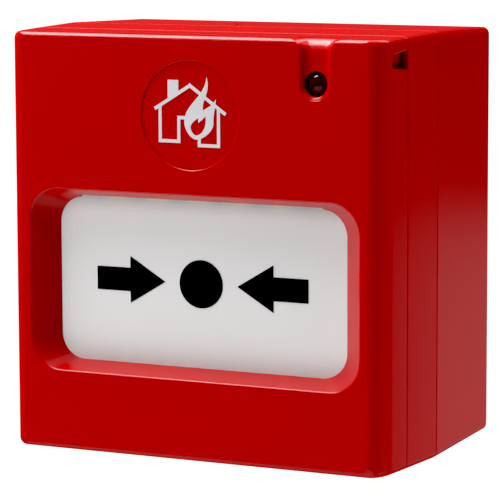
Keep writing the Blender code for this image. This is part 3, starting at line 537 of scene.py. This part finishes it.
def side_pocket(side):
    """Cutter for the pocket beside the seam, with a rounded nose, a rising top and a soft rim."""
    front, back, rim = 0.0047, COVER_SEAM + 0.001, 0.00045
    low, front_high, nose, spread = 0.0399, 0.0427, 0.0009, 0.0006
    wall, pocket_depth = outside(COVER_SEAM / 2)[0], 0.0019

    def outline(growth):
        points = [(y_of(back), low - spread - growth), (y_of(back), front_high + spread + growth)]
        reach = nose + growth
        for centre_z, start, turn in ((front_high - nose, 100, 80), (low + nose, 180, 90)):
            for step in range(7):
                angle = math.radians(start + turn * step / 6)
                y = y_of(front + nose) + reach * math.cos(angle)
                points.append((y, centre_z + reach * math.sin(angle)))
        return points

    steps = [(-0.001, rim)] + edge_profile(rim, 4) + [(pocket_depth, 0.0)]
    loops = [[(side * (wall - depth), y, z) for y, z in outline(growth)] for depth, growth in steps]
    return loft("pocket_cutter", loops)


def cover_blank():
    """Front shell with its tongue at the seam, before any opening is cut."""
    seam = COVER_SEAM - GAP + SEAM_CLOSED
    turns = [math.pi / 2 * i / 8 for i in range(9)]
    depths = sorted({reach * (1 - math.cos(t)) for reach in (END_FILLET, SIDE_REACH) for t in turns})
    stations = []
    for depth in depths:
        side_inset = fillet_inset(SIDE_FILLET, depth, SIDE_REACH)
        stations.append((depth, side_inset, fillet_inset(END_FILLET, depth)))
    stations += [(seam - d, inset, inset) for d, inset in reversed(edge_profile(SEAM_ROUND, 3))]
    cover = shell("cover_shell", stations)
    tongue_back = COVER_SEAM - GAP / 2 + LAP
    add(cover, sleeve("tongue", COVER_SEAM - 0.0015, tongue_back, LIP + GAP))
    cut(cover, sleeve("hollow", FRONT_WALL, COVER_SEAM + 0.004, WALL))
    side_wall, end_wall, collar_front = 0.002, 0.0015, 0.001
    collar = ((collar_front, side_wall, end_wall), (COLLAR_BACK, side_wall, end_wall))
    boss_half, boss_depths, boss_heights = 0.0062, (0.001, 0.0044), (0.0298, 0.0442)
    boss = box("boss", (LED_X - boss_half, LED_X + boss_half), boss_depths, boss_heights)
    add(cover, funnel("collar", collar), boss)
    return cover


def underside_openings():
    """Cutters for the key hole, the reset slot and the latch slot."""
    heights = (-0.05, -0.042)
    key_radius, key_half, key_thickness = 0.0032, 0.0045, 0.0022
    key_depths = (CAM_DEPTH - key_thickness / 2, CAM_DEPTH + key_thickness / 2)
    reset_x = (SLIDER_LOW.x + 0.001 - GAP, SLIDER_HIGH.x - 0.001 + GAP)     # past its shoulders
    reset_depths = (SLIDER_LOW.y - FRONT_Y - GAP, SLIDER_HIGH.y - FRONT_Y + GAP)
    latch_room, latch_depths = 0.0006, (0.0129, 0.016)
    latch_x = (LATCH_LOW.x - latch_room, LATCH_HIGH.x + latch_room)
    return (
        turned("key_hole", [(z, key_radius) for z in heights], "Z", (0.0, y_of(CAM_DEPTH))),
        box("key_slot", (-key_half, key_half), key_depths, heights),
        box("reset_slot", reset_x, reset_depths, heights),
        box("latch_slot", latch_x, latch_depths, heights),
    )


def front_cover(material):
    """Front shell with the press window, the pictogram recess and the status light's notch."""
    cover = cover_blank()
    flag_half = FLAG_HIGH.x + 0.0005
    flag_depths, flag_heights = (FLAG_LOW.y - FRONT_Y - GAP, 0.006), (0.0085, 0.014)
    hole = [(y_of(depth), LENS_HOLE) for depth in (0.001, 0.0055)]
    cut(cover, window_cutter())
    cut(cover, box("flag_gap", (-flag_half, flag_half), flag_depths, flag_heights))
    cut(cover, recess_cutter())
    cut(cover, notch_cutter())
    cut(cover, turned("lens_hole", hole, "Y", (LED_X, LED_Z)))
    for side in (-1, 1):
        cut(cover, side_pocket(side))
    for opening in underside_openings():
        cut(cover, opening)
    return dress(smooth(cover), material, "cover", "red_plastic", "front_cover")


FLOOR_HOLES = (                 # x, z, radius and front of the holes in the base plate's floor
    (-BASE_SCREW_X, 0.0, 0.0022, 0.025),
    (BASE_SCREW_X, 0.0, 0.0022, 0.025),
    (-0.035, -0.037, 0.0016, 0.025),
    (0.035, 0.019, 0.0016, 0.025),
    (-0.027, 0.036, 0.0013, 0.023),
    (0.027, -0.016, 0.0013, 0.023),
)


def base_plate(material):
    """Middle tray of the housing."""
    floor_front, floor_back = 0.026, BOX_SEAM - GAP
    seams = (COVER_SEAM - SEAM_CLOSED, floor_back + SEAM_CLOSED)
    plate = band("plate_shell", *seams, SEAM_ROUND, SEAM_ROUND)
    cut(plate, sleeve("hollow", COVER_SEAM - 0.001, floor_front, WALL))
    cut(plate, sleeve("rabbet", COVER_SEAM - 0.001, COVER_SEAM + GAP / 2 + LAP, LIP))
    rim_outside, rim_wall, rim_reach = BOX_WALL + GAP, 0.0015, 0.0024
    add(plate, sleeve("rim", BOX_SEAM - 0.001, BOX_SEAM + rim_reach, rim_outside))
    cut(plate, sleeve("rim_hollow", floor_back, BOX_SEAM + 0.004, rim_outside + rim_wall))
    add(plate, *board_pillars(), *latch_cheeks())
    holes = []
    for x, z, radius, front in FLOOR_HOLES:
        through = [(y_of(depth), radius) for depth in (front, front + 0.004)]
        holes.append(turned(f"hole_{x}", through, "Y", (x, z), 24))
    holes.append(box("block_opening", (-0.0215, 0.0215), (0.025, 0.029), (-0.0205, -0.0055)))
    middle, release_half = (LATCH_LOW.x + LATCH_HIGH.x) / 2, 0.0025
    release = (middle - release_half, middle + release_half)
    holes.append(box("latch_release", release, (0.0165, 0.0181), (-0.05, -0.042)))
    cut(plate, *holes)
    return dress(smooth(plate), material, "housing", "red_plastic", "base_plate")


def board_pillars():
    """Four pillars that the circuit board stands on."""
    pillars = []
    for x, z in ((-0.027, 0.036), (0.027, -0.016), (-0.027, -0.016), (0.022, 0.036)):
        profile = [(y_of(depth), 0.0028) for depth in (0.0239, 0.0265)]
        pillars.append(turned(f"pillar_{x}_{z}", profile, "Y", (x, z), 32))
    return pillars


def latch_cheeks():
    """Two cheeks that guide the latch between them."""
    cheeks, thickness, room = [], 0.0012, 0.0004
    middle, half = (LATCH_LOW.x + LATCH_HIGH.x) / 2, (LATCH_HIGH.x - LATCH_LOW.x) / 2
    for side in (-1, 1):
        edge = middle + side * (half + room)
        xs = sorted((edge, edge + side * thickness))
        cheeks.append(box(f"cheek_{side}", xs, (0.0215, 0.0265), (-0.0426, -0.039)))
    return cheeks


def ring_groove(name, side, radius, width, depth_at):
    """Cutter for a round groove with a V section in the top or bottom of the back box."""
    surface = side * outside(depth_at)[1]
    over, floor = surface + side * 0.001, surface - side * 0.0009
    section = ((over, radius + width), (floor, radius - width * 0.4),
               (floor, radius - width * 0.6), (over, radius - width * 2))
    bm = bmesh.new()
    rows = []
    for z, ring_radius in section:
        ring = circle(ring_radius, (0.0, y_of(depth_at)), 96)
        rows.append([bm.verts.new((u, v, z)) for u, v in ring])
    for row, following in zip(rows, rows[1:] + rows[:1]):
        for i in range(len(row)):
            j = (i + 1) % len(row)
            bm.faces.new((row[i], row[j], following[j], following[i]))
    return mesh_from(name, bm)


def wall_slot(side, front):
    """Slot for a wall screw: level above the middle, upright below it."""
    long_half, short_half, slot_z, end_radius = 0.0048, 0.00225, side * 0.03, 0.0022
    half_x, half_z = (long_half, short_half) if side > 0 else (short_half, long_half)
    outline = rounded(half_x, slot_z - half_z, slot_z + half_z, end_radius)
    return prism(f"wall_slot_{side}", outline, "Y", y_of(front), y_of(DEPTH + 0.001))


def back_box(material):
    """Surface back box with screw pillars, wall slots and conduit knock-outs."""
    inner_floor, bore_end = DEPTH - BOX_FLOOR, 0.046
    pillar_radius, bore_radius = 0.004, 0.00205
    knockout_radius, knockout_width, knockout_depth = 0.0099, 0.0004, 0.0438
    case = band("box_shell", BOX_SEAM - SEAM_CLOSED, DEPTH, SEAM_ROUND, BACK_ROUND)
    cut(case, sleeve("hollow", BOX_SEAM - 0.001, inner_floor, BOX_WALL))
    for side in (-1, 1):
        centre = (side * BASE_SCREW_X, 0.0)
        pillar = [(y_of(d), pillar_radius) for d in (BOX_SEAM + 0.00045, inner_floor + 0.0005)]
        bore = [(y_of(d), bore_radius) for d in (BOX_SEAM, bore_end)]
        add(case, turned(f"pillar_{side}", pillar, "Y", centre))
        cut(case, turned(f"bore_{side}", bore, "Y", centre, 32))
        cut(case, ring_groove(f"knockout_{side}", side, knockout_radius, knockout_width, knockout_depth))
        cut(case, wall_slot(side, inner_floor - 0.001))
    return dress(smooth(case), material, "housing", "red_plastic", "back_box")


# ---------------------------------------------------------------- prints, lens and spring

def flat_print(name, outline, surface_y, thickness):
    """Thin raised print on a face that looks towards -Y."""
    return prism(name, outline, "Y", surface_y - thickness, surface_y)


def thick_line(start, end, width):
    """Band between two points, square at its ends and longer by half its width."""
    a, b = Vector(start), Vector(end)
    along = (b - a).normalized() * width / 2
    across = Vector((-along.y, along.x))
    a, b = a - along, b + along
    return [tuple(p) for p in (a + across, a - across, b - across, b + across)]


def bezier_loop(curves, steps=14):
    """Points along a closed chain of cubic curves."""
    points = []
    for a, b, c, d in curves:
        for i in range(steps):
            t = i / steps
            weights = ((1 - t) ** 3, 3 * t * (1 - t) ** 2, 3 * t ** 2 * (1 - t), t ** 3)
            points.append(tuple(sum(w * p[k] for w, p in zip(weights, (a, b, c, d))) for k in (0, 1)))
    return points


FLAME = (                       # cubic curves about the flame's foot
    ((0.0, 0.0), (0.0017, 0.0001), (0.0041, 0.0019), (0.0041, 0.0036)),
    ((0.0041, 0.0036), (0.0040, 0.0056), (0.0047, 0.0068), (0.0047, 0.0088)),
    ((0.0047, 0.0088), (0.0039, 0.0074), (0.0028, 0.0070), (0.0016, 0.0063)),
    ((0.0016, 0.0063), (0.0014, 0.0090), (0.0036, 0.0100), (0.0025, 0.0135)),
    ((0.0025, 0.0135), (0.0022, 0.0096), (-0.0017, 0.0080), (-0.0027, 0.0050)),
    ((-0.0027, 0.0050), (-0.0035, 0.0026), (-0.0016, 0.0001), (0.0, 0.0)),
)
FLAME_HOLE = (
    ((0.0, 0.0009), (0.0012, 0.0010), (0.0026, 0.0026), (0.0022, 0.0051)),
    ((0.0022, 0.0051), (0.0017, 0.0045), (0.0011, 0.0041), (0.0005, 0.0036)),
    ((0.0005, 0.0036), (0.00045, 0.0040), (0.00045, 0.0043), (0.0005, 0.0047)),
    ((0.0005, 0.0047), (-0.0003, 0.0041), (-0.0013, 0.0035), (-0.00135, 0.0027)),
    ((-0.00135, 0.0027), (-0.00135, 0.0019), (-0.0008, 0.0009), (0.0, 0.0009)),
)


def pictogram(material):
    """Generic house-on-fire symbol, printed on the floor of the recess."""
    surface, thickness, line = y_of(RECESS_DEPTH - 0.00002), 0.00006, 0.00074
    eave_left, apex, eave_right = (-0.0082, 0.0304), (0.0, 0.0354), (0.0082, 0.0297)
    left_foot, right_foot, lintel = 0.0234, 0.0227, 0.0285
    walls = (
        (eave_left, apex), (apex, eave_right), ((-0.0072, 0.0306), (-0.0072, left_foot)),
        ((-0.0072, left_foot), (-0.0027, left_foot)), ((-0.0027, left_foot), (-0.0027, lintel)),
        ((-0.0027, lintel), (-0.0008, lintel)), ((0.0068, 0.0303), (0.0068, right_foot)),
        ((0.0068, right_foot), (0.0022, right_foot)), ((0.0022, right_foot), (0.0022, 0.0245)),
    )
    foot_x, foot_z = 0.0015, 0.0239
    flame = [(foot_x + x, foot_z + z) for x, z in bezier_loop(FLAME)]
    symbol = flat_print("pictogram_symbol", flame, surface, thickness)
    strokes = [flat_print(f"stroke_{i}", thick_line(*wall, line), surface, thickness)
               for i, wall in enumerate(walls)]
    chimney = [(-0.00535, 0.0322), (-0.00275, 0.0338), (-0.00275, 0.0365), (-0.00535, 0.0365)]
    strokes.append(flat_print("chimney", chimney, surface, thickness))
    add(symbol, *strokes)
    bowl = [(foot_x + x, foot_z + z) for x, z in bezier_loop(FLAME_HOLE)]
    cut(symbol, prism("bowl", bowl, "Y", surface - 0.001, surface + 0.001))
    return dress(smooth(symbol), material, "cover", "white_print", "pictogram_print")


def target_prints(material):
    """Black dot between two arrows on the operating element."""
    surface, thickness = ELEMENT_Y - 0.00001, 0.00008
    radius = (DOT_HIGH.x - DOT_LOW.x) / 2
    dot = flat_print("dot_print", circle(radius, (0.0, TARGET_Z), 128), surface, thickness)
    dress(smooth(dot), material, "element", "black_print", "print_dot")
    tail, neck, tip = 0.0256, 0.01735, 0.00875
    half_tail, half_head = 0.00258, 0.00514
    for side, node in ((-1, "print_arrow_left"), (1, "print_arrow_right")):
        upper = [(tail, half_tail), (neck, half_tail), (neck, half_head), (tip, 0.0)]
        outline = upper + [(x, -z) for x, z in reversed(upper[:-1])]
        points = [(side * x, TARGET_Z + z) for x, z in outline]
        arrow = flat_print(node.replace("print_", "") + "_print", points, surface, thickness)
        dress(smooth(arrow), material, "element", "black_print", node)


def led_lens(material):
    """Smooth dome of the status light on its guide."""
    dome_base, dome_tip, steps = 0.0026, LENS_LOW.y - FRONT_Y, 12
    flange_front, flange_back, flange_radius = 0.0047, 0.0055, 0.003
    guide_end, guide_radius = 0.0074, 0.0016
    profile = []
    for i in range(1, steps + 1):
        angle = math.pi / 2 * i / steps
        depth = dome_base - (dome_base - dome_tip) * math.cos(angle)
        profile.append((y_of(depth), LENS_RADIUS * math.sin(angle)))
    profile += [(y_of(flange_front), radius) for radius in (LENS_RADIUS, flange_radius)]
    profile += [(y_of(flange_back), radius) for radius in (flange_radius, guide_radius)]
    profile.append((y_of(guide_end), guide_radius))
    lens = turned("status_light_lens", profile, "Y", (LED_X, LED_Z), sides=64)
    return dress(smooth(lens, 50), material, "cover", "dark_lens", "led_lens")


def reset_coil(material):
    """Return spring of the reset slider, wound from round wire in one fixed shape."""
    low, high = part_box("reset_spring")
    wire, turns, per_turn, closed_share = 0.0002, 5, 24, 0.5
    centre = ((low.x + high.x) / 2, (low.y + high.y) / 2)
    radius = (high.x - low.x) / 2 - wire
    loops = []
    for i in range(turns * per_turn + 1):
        angle = 2 * math.pi * i / per_turn
        rise = low.z + wire + (high.z - low.z - 2 * wire) * i / (turns * per_turn)
        section = [(radius + u, rise + v) for u, v in circle(wire, sides=8)]
        loops.append([(centre[0] + reach * math.cos(angle), centre[1] + reach * math.sin(angle), z)
                      for reach, z in section])
    spring = loft("reset_coil", loops)
    spring.data.shade_smooth()
    dress(spring, material, "housing", "steel", "reset_spring")
    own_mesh(spring)
    return spring


# ---------------------------------------------------------------- stage, camera and lights

def aim(obj, target):
    """Turn an object so that its -Z axis points at a target."""
    direction = Vector(target) - obj.location
    obj.rotation_mode = "QUATERNION"
    obj.rotation_quaternion = direction.to_track_quat("-Z", "Y")


def camera():
    """Long lens from the right, a little above the middle of the object."""
    data = bpy.data.cameras.new("camera")
    data.lens = 207.7
    data.clip_start, data.clip_end = 0.01, 50.0
    obj = link("camera", data)
    place = Vector((0.28389, FRONT_Y - 0.54196, 0.08262))
    yaw, pitch, roll = math.radians(26.45), math.radians(7.68), -0.0039
    level = math.cos(pitch)
    forward = Vector((-math.sin(yaw) * level, math.cos(yaw) * level, -math.sin(pitch)))
    right = Vector((math.cos(yaw), math.sin(yaw), 0.0))
    up = right.cross(forward)
    rolled_right = right * math.cos(roll) + up * math.sin(roll)
    rolled_up = up * math.cos(roll) - right * math.sin(roll)
    turn = Matrix((rolled_right, rolled_up, -forward)).transposed()
    obj.matrix_world = Matrix.Translation(place) @ turn.to_4x4()
    bpy.context.scene.camera = obj


def softbox(name, place, size, power, in_gloss=True):
    """Rectangular area light, hidden from the camera, that faces the middle of the object."""
    data = bpy.data.lights.new(name, "AREA")
    data.shape = "RECTANGLE"
    data.size, data.size_y = size
    data.energy = power
    obj = link(name, data)
    obj.location = place
    aim(obj, (0.0, FRONT_Y / 2, 0.0))
    obj.visible_camera = False
    obj.visible_glossy = in_gloss


def lights():
    """Bright light from above, softer from the left, weak light from below and the right.

    The fill lights stay out of the gloss, so that only the others show as reflections.
    """
    softbox("key above left", (-0.37, -0.1, 0.7), (0.6, 0.4), 8.5)
    softbox("above back", (-0.1, 0.42, 0.68), (1.0, 0.3), 3.6)
    softbox("above right", (0.22, -0.02, 0.76), (0.35, 0.35), 2.6, in_gloss=False)
    softbox("above", (0.0, -0.1, 0.8), (0.4, 0.4), 3.7, in_gloss=False)
    softbox("front left", (-0.42, -0.62, 0.42), (0.35, 0.35), 2.9, in_gloss=False)
    softbox("left", (-0.78, -0.1, 0.15), (0.4, 0.4), 1.5, in_gloss=False)
    softbox("back left", (-0.6, 0.4, 0.2), (0.4, 0.4), 5.0, in_gloss=False)
    softbox("table glow", (0.0, -0.45, -0.5), (0.9, 0.9), 1.1)
    softbox("low front", (0.0, -0.55, -0.5), (0.4, 0.4), 0.9, in_gloss=False)
    softbox("low left", (-0.5, -0.4, -0.5), (0.4, 0.4), 2.8, in_gloss=False)
    softbox("low right", (0.5, 0.0, -0.35), (0.4, 0.4), 2.5, in_gloss=False)
    softbox("low back right", (0.5, 0.4, -0.3), (0.4, 0.4), 1.0, in_gloss=False)
    softbox("low glow", (0.13, 0.33, -0.12), (0.16, 0.16), 0.025)


def studio_world():
    """World that is white to the camera and dim to the object."""
    world = bpy.data.worlds.new("studio")
    world.use_nodes = True
    tree = world.node_tree
    tree.nodes.clear()
    output = tree.nodes.new("ShaderNodeOutputWorld")
    mix = tree.nodes.new("ShaderNodeMixShader")
    path = tree.nodes.new("ShaderNodeLightPath")
    tree.links.new(path.outputs["Is Camera Ray"], mix.inputs["Fac"])
    dim, white = (1, 0.03), (2, 1.2)                    # mix socket and strength
    for socket, strength in (dim, white):
        background = tree.nodes.new("ShaderNodeBackground")
        background.inputs["Color"].default_value = (1.0, 1.0, 1.0, 1.0)
        background.inputs["Strength"].default_value = strength
        tree.links.new(background.outputs["Background"], mix.inputs[socket])
    tree.links.new(mix.outputs["Shader"], output.inputs["Surface"])
    return world


def pale_floor():
    """Evenly bright floor, far enough below that nothing on it touches the object's look."""
    bpy.ops.mesh.primitive_plane_add(size=8.0, location=(0.0, 0.0, -0.55))
    floor = bpy.context.object
    floor.name = "floor"
    material, _, shader = node_material("pale floor", (0.9, 0.9, 0.9), 0.8)
    shader.inputs["Emission Color"].default_value = (1.0, 1.0, 1.0, 1.0)
    shader.inputs["Emission Strength"].default_value = 1.0
    floor.data.materials.append(material)
    floor.visible_glossy = False
    floor.visible_diffuse = False
    floor.visible_shadow = False


def stage():
    """World, floor and a plain view with slightly deepened blacks."""
    scene = bpy.context.scene
    scene.world = studio_world()
    pale_floor()
    view = scene.view_settings
    view.view_transform = "Standard"
    view.use_curve_mapping = True
    view.curve_mapping.black_level = (0.012, 0.012, 0.012)
    view.curve_mapping.update()


# ---------------------------------------------------------------- everything together

def shading_group(angle=32):
    """Geometry nodes that shade a mesh smoothly, except across edges sharper than an angle."""
    group = bpy.data.node_groups.new("smooth by angle", "GeometryNodeTree")
    for direction in ("INPUT", "OUTPUT"):
        group.interface.new_socket("Geometry", in_out=direction, socket_type="NodeSocketGeometry")
    enter, leave = group.nodes.new("NodeGroupInput"), group.nodes.new("NodeGroupOutput")
    faces = group.nodes.new("GeometryNodeSetShadeSmooth")
    faces.domain = "FACE"
    edges = group.nodes.new("GeometryNodeSetShadeSmooth")
    edges.domain = "EDGE"
    between = group.nodes.new("GeometryNodeInputMeshEdgeAngle")
    blunt = group.nodes.new("FunctionNodeCompare")
    blunt.operation = "LESS_THAN"
    blunt.inputs["B"].default_value = math.radians(angle)
    group.links.new(between.outputs["Unsigned Angle"], blunt.inputs["A"])
    group.links.new(blunt.outputs["Result"], edges.inputs["Shade Smooth"])
    group.links.new(enter.outputs["Geometry"], faces.inputs["Geometry"])
    group.links.new(faces.outputs["Geometry"], edges.inputs["Geometry"])
    group.links.new(edges.outputs["Geometry"], leave.inputs["Geometry"])
    return group


def dress_cad_nodes(materials):
    """Better materials and smooth round faces for the CAD nodes that stay."""
    slots = {entry["node"]: entry["material_slot"] for entry in frame["record"]["subparts"]}
    shading = shading_group()
    for name, obj in frame["nodes"].items():
        obj.data.materials.clear()
        obj.data.materials.append(materials[slots[name]])
        weld = obj.modifiers.new("joined triangles", "WELD")
        weld.merge_threshold = 0.000001
        obj.modifiers.new("smooth by angle", "NODES").node_group = shading


def main():
    camera()
    stage()
    lights()
    materials = make_materials()
    dress_cad_nodes(materials)
    front_cover(materials["red_plastic"])
    base_plate(materials["red_plastic"])
    back_box(materials["red_plastic"])
    pictogram(materials["white_print"])
    target_prints(materials["black_print"])
    led_lens(materials["dark_lens"])
    reset_coil(materials["steel"])


main()
